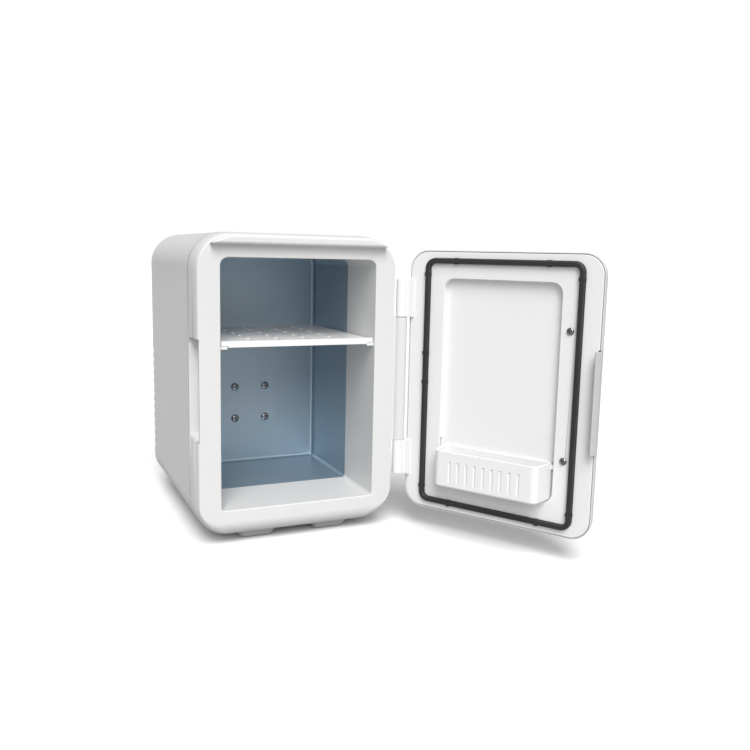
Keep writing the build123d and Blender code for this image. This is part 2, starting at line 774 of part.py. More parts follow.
def latch_window(grow, x_in, y_front):
    """The space that the latch takes at the free edge of the door."""
    z0 = base + latch_low - grow
    z1 = base + latch_high + grow
    return block((-door_side - 6, x_in), (y_front, front + 20), (z0, z1))


def latch_pivot():
    return -door_side + 5.2, front - 15.0


def door_outer_shell():
    solid = door_form(0)
    body = solid - door_form(door_wall)
    rebate = panel_inset - rebate_gap
    body -= slab(door_outline(rebate, door_corner - rebate), panel_face - panel_wall - rebate_gap, rim + 1)
    for x, z in door_screw_places():
        post = rod(4.2, (x, panel_face - panel_wall - 0.2, z), (x, rim - door_depth + 0.5, z)) & solid
        body += post
    body -= latch_window(latch_gap, -door_side + 8.3, front - 19.8)
    pivot_x, pivot_y = latch_pivot()
    lugs = ((base + latch_low - latch_gap - 4, base + latch_low - latch_gap),
            (base + latch_high + latch_gap, base + latch_high + latch_gap + 4))
    for z0, z1 in lugs:
        lug = block((-door_side - 2, pivot_x + 3.4), (pivot_y - 3.4, pivot_y + 3.4), (z0, z1)) & solid
        body += lug
    body -= rod(latch_pin_radius + 0.02, (pivot_x, pivot_y, lugs[0][1] - 3), (pivot_x, pivot_y, lugs[1][0] + 3))
    for x, z in door_screw_places():
        body -= rod(1.45, (x, rim, z), (x, panel_face - 16, z))
    for z0, z1 in knuckles():
        body -= block((door_hinge_side - 6, door_hinge_side + 4), (panel_face - 3.6, front), (z0 - 0.5, z1 + 0.5))
    return body


def door_inner_panel():
    body = slab(door_outline(panel_inset, door_corner - panel_inset), panel_face - panel_wall, panel_face)
    r_low = base + recess_bottom
    r_high = base + recess_top
    r_half = recess_width / 2
    body += slab(outline(r_half + 2.2, r_low - 2.2, r_high + 2.2, recess_corner + 2.2), recess_floor - 2.2, panel_face)
    body -= slab(outline(r_half, r_low, r_high, recess_corner), recess_floor, panel_face + 1)
    body -= slab(gasket_ring(0.1), panel_face - gasket_root, panel_face + 1)
    for s in (-1, 1):
        ear_z0 = base + basket_high - 5.5
        slot = block((s * (r_half - 1), s * (r_half + 2.4)), (recess_floor + 0.9, recess_floor + 4.1),
                     (ear_z0 - fit_gap, ear_z0 + 4.0 + basket_lift + fit_gap))
        body -= slot
    for z0, z1 in knuckles():
        knuckle = rod(hinge_radius, (hinge_x, front, z0), (hinge_x, front, z1))
        knuckle += block((door_hinge_side - 5, hinge_x), (panel_face - panel_wall + 0.4, front - 1.2), (z0, z1))
        knuckle -= rod(hinge_pin_radius + 0.02, (hinge_x, front, z0 - 1), (hinge_x, front, z1 + 1))
        body += knuckle
    for x, z in door_screw_places():
        body -= rod(1.6, (x, panel_face + 1, z), (x, panel_face - 5, z))
    return body - latch_window(latch_gap, -door_side + 2.5, front - 10)


def gasket_ring(grow):
    outer = half_opening + gasket_overhang + grow
    inner = half_opening + gasket_overhang - gasket_width - grow
    reach_out = gasket_overhang + grow
    reach_in = gasket_overhang - gasket_width - grow
    ring = outline(outer, floor_level - reach_out, ceiling_level + reach_out, gasket_corner + grow)
    return ring - outline(inner, floor_level - reach_in, ceiling_level + reach_in, gasket_corner - gasket_width - grow)


def gasket_nubs():
    """Small ribs across the gasket, as (x, z) and whether they lie across a level strip."""
    strip_x = half_opening + gasket_overhang - gasket_width / 2
    strip_low = floor_level - gasket_overhang + gasket_width / 2
    strip_high = ceiling_level + gasket_overhang - gasket_width / 2
    level = [(x, z) for x in (-42.6, 42.6) for z in (strip_low, strip_high)]
    upright = [(x, opening_middle + z) for x in (-strip_x, strip_x) for z in (-96.3, 96.3)]
    return level, upright + [(strip_x, opening_middle), (strip_x, opening_middle + 26)]


def door_gasket():
    crown = front - gasket_gap
    body = slab(gasket_ring(0), panel_face - gasket_root, crown)
    edges = [e for e in body.edges().filter_by_position(Axis.Y, crown - 0.01, crown + 0.01)]
    body = fillet(edges, 1.0)
    level, upright = gasket_nubs()
    across = gasket_width / 2 + nub_reach
    depth = (panel_face + 0.05, crown - 0.6)
    for x, z in level:
        body += block((x - nub_length / 2, x + nub_length / 2), depth, (z - across, z + across))
    for x, z in upright:
        body += block((x - across, x + across), depth, (z - nub_length / 2, z + nub_length / 2))
    return body


def door_insulation():
    body = door_form(door_wall + fit_gap)
    body -= block((-200, 200), (recess_floor - 2.2 - fit_gap, front + 10), (0, 400))
    for x, z in door_screw_places():
        body -= rod(4.2 + fit_gap, (x, front, z), (x, rim - door_depth - 1, z))
    window = latch_window(latch_gap + 4 + fit_gap, -door_side + 9.3, front - 40)
    return body - window


def hinge_pins():
    (low_start, low_end), (high_start, high_end) = knuckles()
    radius = hinge_pin_radius
    lower = rod(radius, (hinge_x, front, low_start + 0.8), (hinge_x, front, base + barrel_low + hinge_pin_grip))
    upper = rod(radius, (hinge_x, front, base + barrel_high - hinge_pin_grip), (hinge_x, front, high_end - 0.8))
    return [lower, upper]


def latch_lever():
    low = base + latch_low
    high = base + latch_high
    flange = -side + 3.0                       # edge of the front plate at the finger recess
    inner = flange - 0.35
    outer = inner - latch_arm
    tip = flange + latch_tooth
    hook = front + plate_wall + fit_gap
    points = [(outer + 0.5, hook + 1.7), (outer, front), (outer + 0.6, front - 6), (-door_side + 1.2, front - 12.4),
              (-door_side + 4.5, front - 19.2), (-door_side + 7.2, front - 18.6), (-door_side + 4.4, front - 12),
              (inner - 0.2, front - 4), (inner, front - 1), (inner, hook - 0.1), (tip, hook), (tip, hook + 0.9),
              (tip - 0.8, hook + 1.7)]
    face = make_face(Polyline(*points, close=True))
    body = extrude(Plane.XY.offset(low) * face, amount=high - low)
    pivot_x, pivot_y = latch_pivot()
    body += rod(2.9, (pivot_x, pivot_y, low), (pivot_x, pivot_y, high))
    middle = (low + high) / 2
    body -= block((pivot_x - 2.6, pivot_x + 6), (pivot_y - 3.2, pivot_y + 3.2), (middle - 4.5, middle + 4.5))
    return body - rod(latch_pin_radius + pin_gap, (pivot_x, pivot_y, low - 1), (pivot_x, pivot_y, high + 1))


def latch_pin():
    pivot_x, pivot_y = latch_pivot()
    z0 = base + latch_low - latch_gap - 2.8
    z1 = base + latch_high + latch_gap + 2.8
    return rod(latch_pin_radius, (pivot_x, pivot_y, z0), (pivot_x, pivot_y, z1))


def latch_spring():
    """Wound torsion spring round the latch pin, drawn as its coil."""
    pivot_x, pivot_y = latch_pivot()
    middle = base + (latch_low + latch_high) / 2
    coil = rod(2.2, (pivot_x, pivot_y, middle - 3.5), (pivot_x, pivot_y, middle + 3.5))
    return coil - rod(latch_pin_radius + 0.15, (pivot_x, pivot_y, middle - 5), (pivot_x, pivot_y, middle + 5))


def basket_profile(inset):
    y0 = recess_floor + fit_gap + inset
    y1 = front + basket_front - inset
    wide = basket_half - inset
    narrow = wide - basket_draw
    face = make_face(Polyline((-wide, y0), (wide, y0), (narrow, y1), (-narrow, y1), close=True))
    return fillet(face.vertices().group_by(Axis.Y)[-1], basket_corner - inset)


def door_basket():
    low = base + basket_low
    high = base + basket_high
    body = extrude(Plane.XY.offset(low) * basket_profile(0), amount=high - low)
    body = fillet(body.edges().group_by(Axis.Z)[0].filter_by_position(Axis.Y, recess_floor + 3, front + 40), 2.5)
    body -= extrude(Plane.XY.offset(low + basket_wall) * basket_profile(basket_wall), amount=high - low)
    for k in range(flute_count):
        x = (k - (flute_count - 1) / 2) * flute_pitch
        y = front + basket_front + 0.3
        body -= rod(flute_radius, (x, y, low + 5.7), (x, y, high - 8.7))
    for s in (-1, 1):
        ear = block((s * (basket_half - 1), s * (recess_width / 2 + 1.6)),
                    (recess_floor + 1.4, recess_floor + 3.6), (high - 5.5, high - 1.5))
        body += ear
    return body


def door_screws():
    return [pan_screw(x, z, panel_face, panel_face - 11, 3.1, 1.4, 1.9, -1) for x, z in door_screw_places()]


def opened(shape):
    """The door and all it carries, turned from shut to where it stands open."""
    return shape.rotate(Axis((hinge_x, front, 0), (0, 0, 1)), open_angle)


# ---------------------------------------------------------------- build
fixed_pieces = {
    "front_frame": front_frame,
    "outer_shell": outer_shell,
    "rear_cover": rear_cover,
    "liner": liner,
    "liner_screws": liner_screws,
    "insulation": insulation,
    "shelf_rails": shelf_rails,
    "shelf": shelf,
    "cold_block": cold_block,
    "cooling_module": cooling_module,
    "heat_sink": heat_sink,
    "heat_sink_screws": heat_sink_screws,
    "fan_frame": fan_frame,
    "fan_rotor": fan_rotor,
    "fan_screws": fan_screws,
    "power_board": power_board,
    "switch_board": switch_board,
    "board_screws": board_screws,
    "ac_inlet": ac_inlet,
    "dc_socket": dc_socket,
    "switch_housing": switch_housing,
    "switch_rocker": switch_rocker,
    "indicator_lights": indicator_lights,
    "foot_screws": foot_screws,
    "carry_handle": carry_handle,
    "handle_pins": handle_pins,
    "cover_screws": cover_screws,
}

door_pieces = {
    "door_outer_shell": door_outer_shell,
    "door_inner_panel": door_inner_panel,
    "door_gasket": door_gasket,
    "door_insulation": door_insulation,
    "hinge_pins": hinge_pins,
    "latch_lever": latch_lever,
    "latch_pin": latch_pin,
    "latch_spring": latch_spring,
    "door_basket": door_basket,
    "door_screws": door_screws,
}


def save(name, shape):
    whole = Compound(children=list(shape)) if isinstance(shape, list) else shape
    export_step(whole, f"parts/{name}.step")


os.makedirs("parts", exist_ok=True)
for name, make in fixed_pieces.items():
    save(name, make())
for name, (x, y) in foot_places().items():
    save(name, foot(x, y))
for name, make in door_pieces.items():
    made = make()
    save(name, [opened(piece) for piece in made] if isinstance(made, list) else opened(made))
print("hinge axis", hinge_x, front)
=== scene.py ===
"""A small thermoelectric fridge with its door standing open, on a pale floor in soft light.

Everything is in metres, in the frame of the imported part: +Z up, the front towards -Y, the hinge at +X.
"""

import json
import math

import bmesh
import bpy
from mathutils import Matrix, Vector


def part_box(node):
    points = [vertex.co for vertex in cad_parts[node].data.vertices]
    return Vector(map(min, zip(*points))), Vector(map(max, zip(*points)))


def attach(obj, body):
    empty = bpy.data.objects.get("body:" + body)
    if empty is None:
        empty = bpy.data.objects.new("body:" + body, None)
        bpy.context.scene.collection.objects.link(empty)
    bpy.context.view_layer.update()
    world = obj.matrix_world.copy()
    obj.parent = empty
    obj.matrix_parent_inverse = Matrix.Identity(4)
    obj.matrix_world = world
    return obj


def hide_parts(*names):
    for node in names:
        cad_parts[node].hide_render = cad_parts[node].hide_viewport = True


MM = 0.001
WELD_REACH = 0.004 * MM        # vertices of the frame's shapes this close are one
FLAT_ANGLE = math.radians(0.3)  # faces within this angle count as one flat face
SMUDGE = 0.002                  # how much roughness hands add to plastic
METAL_SMUDGE = 0.05             # and to metal
DUST = 0.006                    # share of dust on faces that look up
BRUSH_RELIEF = 0.03
BRUSH_STREAK = 0.05
OPEN_ANGLE = math.radians(121.0)  # how far the door stands open
ROOM_LIGHT = 0.36               # light from level, and what the sky overhead adds to it
SKY_LIGHT = 0.25
FLOOR_REACH = 12.0

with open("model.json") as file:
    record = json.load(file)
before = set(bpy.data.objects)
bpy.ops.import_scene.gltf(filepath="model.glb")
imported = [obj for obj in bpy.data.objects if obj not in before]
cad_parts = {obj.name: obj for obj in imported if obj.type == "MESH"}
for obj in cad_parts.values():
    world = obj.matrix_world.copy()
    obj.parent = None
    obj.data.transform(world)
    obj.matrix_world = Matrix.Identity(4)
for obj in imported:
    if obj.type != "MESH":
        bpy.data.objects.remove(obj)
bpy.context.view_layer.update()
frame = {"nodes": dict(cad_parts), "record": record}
record = frame["record"]


# ---------------------------------------------------------------- who belongs where
node_slot = {entry["node"]: entry["material_slot"] for entry in record["subparts"]}
node_body = {node: body for body, nodes in record["behaviour"]["bodies"].items() for node in nodes}


def middle(node):
    low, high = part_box(node)
    return (Vector(low) + Vector(high)) / 2


def extent(node):
    low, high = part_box(node)
    return Vector(high) - Vector(low)


# ---------------------------------------------------------------- shader building
def socket(group, name, direction, kind, value=None):
    made = group.interface.new_socket(name=name, in_out=direction, socket_type=kind)
    if value is not None:
        made.default_value = value
    return made


class Sheet:
    """A node tree with short calls for the nodes that the finishes here use."""

    def __init__(self, tree):
        self.tree = tree
        self.nodes = tree.nodes
        self.links = tree.links

    def add(self, kind, **settings):
        node = self.nodes.new(kind)
        for key, value in settings.items():
            setattr(node, key, value)
        return node

    def feed(self, target, value):
        if isinstance(value, bpy.types.NodeSocket):
            self.links.new(value, target)
        else:
            target.default_value = value

    def math(self, operation, *values, clamp=False):
        node = self.add("ShaderNodeMath", operation=operation, use_clamp=clamp)
        for target, value in zip(node.inputs, values):
            self.feed(target, value)
        return node.outputs[0]

    def span(self, value, low, high, to_low=0.0, to_high=1.0):
        node = self.add("ShaderNodeMapRange")
        for target, given in zip(node.inputs, (value, low, high, to_low, to_high)):
            self.feed(target, given)
        return node.outputs[0]

    def mix(self, share, first, second):
        node = self.add("ShaderNodeMix", data_type="RGBA", blend_type="MIX")
        self.feed(node.inputs["Factor"], share)
        self.feed(node.inputs[6], first)
        self.feed(node.inputs[7], second)
        return node.outputs[2]

    def noise(self, vector, scale, detail=3.0, roughness=0.5):
        node = self.add("ShaderNodeTexNoise")
        self.feed(node.inputs["Vector"], vector)
        self.feed(node.inputs["Scale"], scale)
        self.feed(node.inputs["Detail"], detail)
        self.feed(node.inputs["Roughness"], roughness)
        return node.outputs["Fac"]

    def stretched(self, vector, x, y, z):
        node = self.add("ShaderNodeVectorMath", operation="MULTIPLY")
        self.feed(node.inputs[0], vector)
        node.inputs[1].default_value = (x, y, z)
        return node.outputs[0]


def new_group(name, inputs, outputs):
    tree = bpy.data.node_groups.new(name, "ShaderNodeTree")
    for label, kind, value in inputs:
        socket(tree, label, "INPUT", kind, value)
    for label, kind in outputs:
        socket(tree, label, "OUTPUT", kind)
    sheet = Sheet(tree)
    return tree, sheet, sheet.add("NodeGroupInput"), sheet.add("NodeGroupOutput")


NUMBER = "NodeSocketFloat"
VECTOR = "NodeSocketVector"


def moulded_grain_group():
    """Fine moulded texture, with slow changes of tone over the whole piece."""
    tree, sheet, given, result = new_group(
        "moulded grain",
        [("Place", VECTOR, None), ("Grain", NUMBER, 1400.0), ("Swell", NUMBER, 9.0)],
        [("Tone", NUMBER), ("Sheen Change", NUMBER), ("Height", NUMBER)],
    )
    slow = sheet.noise(given.outputs["Place"], given.outputs["Swell"], 2.0)
    fine = sheet.noise(given.outputs["Place"], given.outputs["Grain"], 2.0, 0.6)
    flow = sheet.noise(sheet.stretched(given.outputs["Place"], 1.0, 1.0, 2.0), 22.0, 2.0)
    sheet.links.new(sheet.span(slow, 0.3, 0.7), result.inputs["Tone"])
    sheet.links.new(sheet.span(flow, 0.3, 0.7), result.inputs["Sheen Change"])
    sheet.links.new(fine, result.inputs["Height"])
    return tree


def handling_group():
    """Faint smudges that hands leave: they change only how sharp the reflections are."""
    tree, sheet, given, result = new_group(
        "handling smudges",
        [("Place", VECTOR, None), ("Amount", NUMBER, 0.05)],
        [("Haze", NUMBER)],
    )
    patches = sheet.noise(given.outputs["Place"], 38.0, 5.0, 0.7)
    streaks = sheet.noise(sheet.stretched(given.outputs["Place"], 3.0, 3.0, 1.0), 120.0, 3.0, 0.6)
    haze = sheet.math("MULTIPLY", sheet.span(patches, 0.5, 0.75), sheet.span(streaks, 0.3, 0.7))
    sheet.links.new(sheet.math("MULTIPLY", haze, given.outputs["Amount"]), result.inputs["Haze"])
    return tree


def settled_dust_group():
    """A thin film on faces that look up."""
    tree, sheet, given, result = new_group(
        "settled dust",
        [("Place", VECTOR, None), ("Amount", NUMBER, 0.3)],
        [("Film", NUMBER)],
    )
    normal = sheet.add("ShaderNodeNewGeometry").outputs["Normal"]
    split = sheet.add("ShaderNodeSeparateXYZ")
    sheet.links.new(normal, split.inputs[0])
    up = sheet.span(split.outputs["Z"], 0.75, 1.0)
    clouds = sheet.span(sheet.noise(given.outputs["Place"], 55.0, 5.0, 0.6), 0.4, 0.7)
    sheet.links.new(
        sheet.math("MULTIPLY", sheet.math("MULTIPLY", up, clouds), given.outputs["Amount"]),
        result.inputs["Film"],
    )
    return tree


def brushed_group():
    """Hair-fine lines along one direction of drawn or rolled metal."""
    tree, sheet, given, result = new_group(
        "brushed lines",
        [("Place", VECTOR, None), ("Fineness", NUMBER, 900.0)],
        [("Lines", NUMBER), ("Cloud", NUMBER)],
    )
    along = sheet.stretched(given.outputs["Place"], 1.0, 1.0, 0.02)
    lines = sheet.noise(along, given.outputs["Fineness"], 3.0, 0.7)
    cloud = sheet.noise(given.outputs["Place"], 10.0, 2.0)
    sheet.links.new(sheet.span(lines, 0.3, 0.7), result.inputs["Lines"])
    sheet.links.new(sheet.span(cloud, 0.3, 0.7), result.inputs["Cloud"])
    return tree


def pressed_patch_group():
    """A shallow rectangle pressed into the liner's back wall, round the four screws."""
    tree, sheet, given, result = new_group(
        "pressed patch",
        [("Place", VECTOR, None), ("Middle Height", NUMBER, 0.095), ("Half Width", NUMBER, 0.0285),
         ("Half Height", NUMBER, 0.028), ("Slope", NUMBER, 0.0025)],
        [("Height", NUMBER)],
    )
    split = sheet.add("ShaderNodeSeparateXYZ")
    sheet.links.new(given.outputs["Place"], split.inputs[0])

    def inside(distance, half):
        past = sheet.math("SUBTRACT", sheet.math("ABSOLUTE", distance), half)
        return sheet.math("SUBTRACT", 1.0, sheet.math("DIVIDE", past, given.outputs["Slope"], clamp=True))

    across = inside(split.outputs["X"], given.outputs["Half Width"])
    rise = sheet.math("SUBTRACT", split.outputs["Z"], given.outputs["Middle Height"])
    along = inside(rise, given.outputs["Half Height"])
    sheet.links.new(sheet.math("MULTIPLY", across, along), result.inputs["Height"])
    return tree


grain_group = moulded_grain_group()
handled_group = handling_group()
dust_group = settled_dust_group()
lines_group = brushed_group()
patch_group = pressed_patch_group()


def place_group(sheet, tree, **values):
    node = sheet.add("ShaderNodeGroup", node_tree=tree)
    place = sheet.add("ShaderNodeTexCoord").outputs["Object"]
    sheet.links.new(place, node.inputs["Place"])
    for label, value in values.items():
        node.inputs[label.replace("_", " ")].default_value = value
    return node


def material_with(name):
    material = bpy.data.materials.new(name)
    material.use_nodes = True
    sheet = Sheet(material.node_tree)
    return material, sheet, sheet.nodes["Principled BSDF"]


def bumped(sheet, shader, height, strength, distance, over=None):
    """Adds relief to the shader, on top of a relief that is there already."""
    bump = sheet.add("ShaderNodeBump")
    bump.inputs["Strength"].default_value = strength
    bump.inputs["Distance"].default_value = distance
    sheet.links.new(height, bump.inputs["Height"])
    if over:
        sheet.links.new(over.outputs[0], bump.inputs["Normal"])
    sheet.links.new(bump.outputs[0], shader.inputs["Normal"])
    return bump


def moulded_plastic(name, colour, shade, gloss, grain=1400.0, relief=0.03, coat=0.0):
    """Moulded plastic: colour and shade are its two tones, gloss the two ends of its roughness."""
    material, sheet, shader = material_with(name)
    texture = place_group(sheet, grain_group, Grain=grain)
    handled = place_group(sheet, handled_group, Amount=SMUDGE)
    dusty = place_group(sheet, dust_group, Amount=DUST)
    tone = sheet.mix(texture.outputs["Tone"], (*colour, 1.0), (*shade, 1.0))
    tone = sheet.mix(dusty.outputs["Film"], tone, (0.62, 0.60, 0.57, 1.0))
    sheet.links.new(tone, shader.inputs["Base Color"])
    roughness = sheet.span(texture.outputs["Sheen Change"], 0.0, 1.0, gloss[0], gloss[1])
    roughness = sheet.math("ADD", roughness, handled.outputs["Haze"])
    roughness = sheet.math("ADD", roughness, sheet.math("MULTIPLY", dusty.outputs["Film"], 0.5))
    sheet.links.new(roughness, shader.inputs["Roughness"])
    shader.inputs["Coat Weight"].default_value = coat
    shader.inputs["Coat Roughness"].default_value = 0.12
    bumped(sheet, shader, texture.outputs["Height"], relief, 0.1 * MM)
    return material


def bare_metal(name, colour, shade, gloss, fineness=900.0, patch=False, solid=1.0):
    """Drawn or rolled metal; patch adds the pressed rectangle, solid is how metallic it is."""
    material, sheet, shader = material_with(name)
    lines = place_group(sheet, lines_group, Fineness=fineness)
    handled = place_group(sheet, handled_group, Amount=METAL_SMUDGE)
    tone = sheet.mix(lines.outputs["Cloud"], (*colour, 1.0), (*shade, 1.0))
    streaks = sheet.math("MULTIPLY", lines.outputs["Lines"], BRUSH_STREAK)
    tone = sheet.mix(streaks, tone, (0.9, 0.92, 0.94, 1.0))
    sheet.links.new(tone, shader.inputs["Base Color"])
    roughness = sheet.span(lines.outputs["Lines"], 0.0, 1.0, gloss[0], gloss[1])
    sheet.links.new(sheet.math("ADD", roughness, handled.outputs["Haze"]), shader.inputs["Roughness"])
    shader.inputs["Metallic"].default_value = solid
    pressed = None
    if patch:
        raised = place_group(sheet, patch_group)
        pressed = bumped(sheet, shader, raised.outputs["Height"], 0.5, 0.12 * MM)
    bumped(sheet, shader, lines.outputs["Lines"], BRUSH_RELIEF, 0.05 * MM, pressed)
    return material


finish = {
    "shell_white": moulded_plastic(
        "white cabinet plastic", (0.715, 0.715, 0.71), (0.71, 0.71, 0.705),
        (0.33, 0.35), coat=0.1,
    ),
    "inner_white": moulded_plastic(
        "white inner plastic", (0.84, 0.84, 0.837), (0.837, 0.837, 0.834),
        (0.29, 0.305), 1800.0, coat=0.1,
    ),
    "foot_grey": moulded_plastic(
        "grey foot rubber", (0.50, 0.50, 0.50), (0.46, 0.46, 0.46),
        (0.5, 0.62), 1100.0, 0.1,
    ),
    "latch_grey": moulded_plastic(
        "grey latch plastic", (0.60, 0.60, 0.605), (0.57, 0.57, 0.575),
        (0.38, 0.48),
    ),
    "gasket_black": moulded_plastic(
        "black gasket rubber", (0.018, 0.018, 0.019), (0.025, 0.025, 0.026),
        (0.42, 0.56), 900.0, 0.08,
    ),
    "liner_metal": bare_metal(
        "rolled aluminium liner", (0.43, 0.53, 0.61), (0.41, 0.51, 0.59),
        (0.40, 0.46), patch=True, solid=0.8,
    ),
    "cooler_metal": bare_metal(
        "milled aluminium", (0.62, 0.63, 0.65), (0.56, 0.57, 0.59),
        (0.28, 0.40),
    ),
    "screw_steel": bare_metal(
        "plated screw steel", (0.30, 0.30, 0.315), (0.24, 0.24, 0.255),
        (0.16, 0.24), 1600.0,
    ),
    "pin_steel": bare_metal(
        "ground pin steel", (0.58, 0.58, 0.60), (0.52, 0.52, 0.54),
        (0.18, 0.28), 1600.0,
    ),
    "foam_cream": moulded_plastic(
        "cut foam", (0.80, 0.74, 0.58), (0.72, 0.66, 0.50),
        (0.8, 0.92), 500.0, 0.5,
    ),
    "module_white": moulded_plastic(
        "ceramic plate", (0.86, 0.86, 0.84), (0.80, 0.80, 0.78),
        (0.4, 0.5),
    ),
    "fan_black": moulded_plastic(
        "black fan plastic", (0.022, 0.022, 0.023), (0.03, 0.03, 0.031),
        (0.38, 0.5),
    ),
    "board_green": moulded_plastic(
        "coated circuit board", (0.03, 0.16, 0.06), (0.02, 0.12, 0.05),
        (0.3, 0.42),
    ),
    "socket_black": moulded_plastic(
        "black socket plastic", (0.028, 0.028, 0.029), (0.036, 0.036, 0.037),
        (0.34, 0.46),
    ),
    "lamp_clear": moulded_plastic(
        "milky lamp plastic", (0.78, 0.74, 0.62), (0.74, 0.70, 0.58),
        (0.12, 0.2),
    ),
}


# ---------------------------------------------------------------- pieces from the frame's own shapes
def welded(node, name, merge=False):
    """A copy of the node's mesh with its loose triangles joined, and on request its flat faces merged."""
    mesh = frame["nodes"][node].data.copy()
    mesh.name = name
    shape = bmesh.new()
    shape.from_mesh(mesh)
    bmesh.ops.remove_doubles(shape, verts=shape.verts, dist=WELD_REACH)
    if merge:
        bmesh.ops.dissolve_limit(
            shape, angle_limit=FLAT_ANGLE, use_dissolve_boundaries=False,
            verts=shape.verts, edges=shape.edges,
        )
    shape.to_mesh(mesh)
    shape.free()
    return mesh


def placed(name, mesh):
    piece = bpy.data.objects.new(name, mesh)
    bpy.context.scene.collection.objects.link(piece)
    return piece


def hand_over(piece, node):
    """The piece stands for that node: it rides on its body and takes its slot's finish."""
    slot = node_slot[node]
    piece.data.materials.clear()
    piece.data.materials.append(finish[slot])
    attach(piece, node_body[node])
    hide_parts(node)


def softened(node, name, edge, steps=2, sharp=32.0):
    """The node's shape with curved faces smooth, flat ones flat and hard edges rounded by edge mm."""
    mesh = welded(node, name, edge > 0)
    mesh.shade_smooth()
    mesh.set_sharp_from_angle(angle=math.radians(sharp))
    piece = placed(name, mesh)
    if edge:
        bevel = piece.modifiers.new("rounded edges", "BEVEL")
        bevel.width = edge * MM
        bevel.segments = steps
        bevel.limit_method = "ANGLE"
        bevel.angle_limit = math.radians(sharp)
        bevel.use_clamp_overlap = False
    even = piece.modifiers.new("flat faces stay flat", "WEIGHTED_NORMAL")
    even.keep_sharp = True
    hand_over(piece, node)
    return piece


softened("front_frame", "cabinet_front_frame", 0.0)
softened("outer_shell", "cabinet_shell", 0.25)
softened("rear_cover", "cabinet_rear_cover", 0.25)
softened("liner", "cavity_liner", 0.0)
softened("shelf", "slotted_shelf", 0.0)
softened("shelf_rails", "shelf_side_rails", 0.3)
softened("door_outer_shell", "door_shell", 0.2)
softened("door_inner_panel", "door_panel", 0.4)
softened("door_gasket", "door_seal", 0.0)
softened("door_basket", "door_bin", 0.3)
softened("latch_lever", "door_latch", 0.0)
softened("carry_handle", "top_handle", 0.5)
for corner in ("front_left", "front_right", "rear_left", "rear_right"):
    softened("foot_" + corner, "foot_pad_" + corner, 0.0)


# ---------------------------------------------------------------- screws and spring, made by node trees
def geometry_tree(name, inputs):
    tree = bpy.data.node_groups.new(name, "GeometryNodeTree")
    for label, kind, value in inputs:
        socket(tree, label, "INPUT", kind, value)
    socket(tree, "Geometry", "OUTPUT", "NodeSocketGeometry")
    sheet = Sheet(tree)
    return tree, sheet, sheet.add("NodeGroupInput"), sheet.add("NodeGroupOutput")


def screw_set_tree():
    """One screw at every point, its axis along Axis, each turned by its own amount."""
    tree, sheet, given, result = geometry_tree(
        "set of screws",
        [("Places", "NodeSocketGeometry", None), ("Screw", "NodeSocketObject", None),
         ("Axis", VECTOR, (0.0, 0.0, 1.0)), ("Most Turn", NUMBER, math.pi / 2),
         ("Seed", "NodeSocketInt", 3), ("Finish", "NodeSocketMaterial", None)],
    )
    shape = sheet.add("GeometryNodeObjectInfo")
    sheet.links.new(given.outputs["Screw"], shape.inputs["Object"])
    upright = sheet.add("FunctionNodeAlignRotationToVector", axis="Z")
    sheet.links.new(given.outputs["Axis"], upright.inputs["Vector"])
    copies = sheet.add("GeometryNodeInstanceOnPoints")
    sheet.links.new(given.outputs["Places"], copies.inputs["Points"])
    sheet.links.new(shape.outputs["Geometry"], copies.inputs["Instance"])
    sheet.links.new(upright.outputs["Rotation"], copies.inputs["Rotation"])
    chance = sheet.add("FunctionNodeRandomValue", data_type="FLOAT")
    floats = [s for s in chance.inputs if s.type == "VALUE"]
    floats[0].default_value = 0.0
    sheet.links.new(given.outputs["Most Turn"], floats[1])
    sheet.links.new(given.outputs["Seed"], chance.inputs["Seed"])
    angle = sheet.add("ShaderNodeCombineXYZ")
    sheet.links.new([s for s in chance.outputs if s.type == "VALUE"][0], angle.inputs["Z"])
    turned = sheet.add("GeometryNodeRotateInstances")
    sheet.links.new(copies.outputs["Instances"], turned.inputs["Instances"])
    sheet.links.new(angle.outputs[0], turned.inputs["Rotation"])
    whole = sheet.add("GeometryNodeRealizeInstances")
    sheet.links.new(turned.outputs["Instances"], whole.inputs["Geometry"])
    coloured = sheet.add("GeometryNodeSetMaterial")
    sheet.links.new(whole.outputs["Geometry"], coloured.inputs["Geometry"])
    sheet.links.new(given.outputs["Finish"], coloured.inputs["Material"])
    sheet.links.new(coloured.outputs["Geometry"], result.inputs["Geometry"])
    return tree


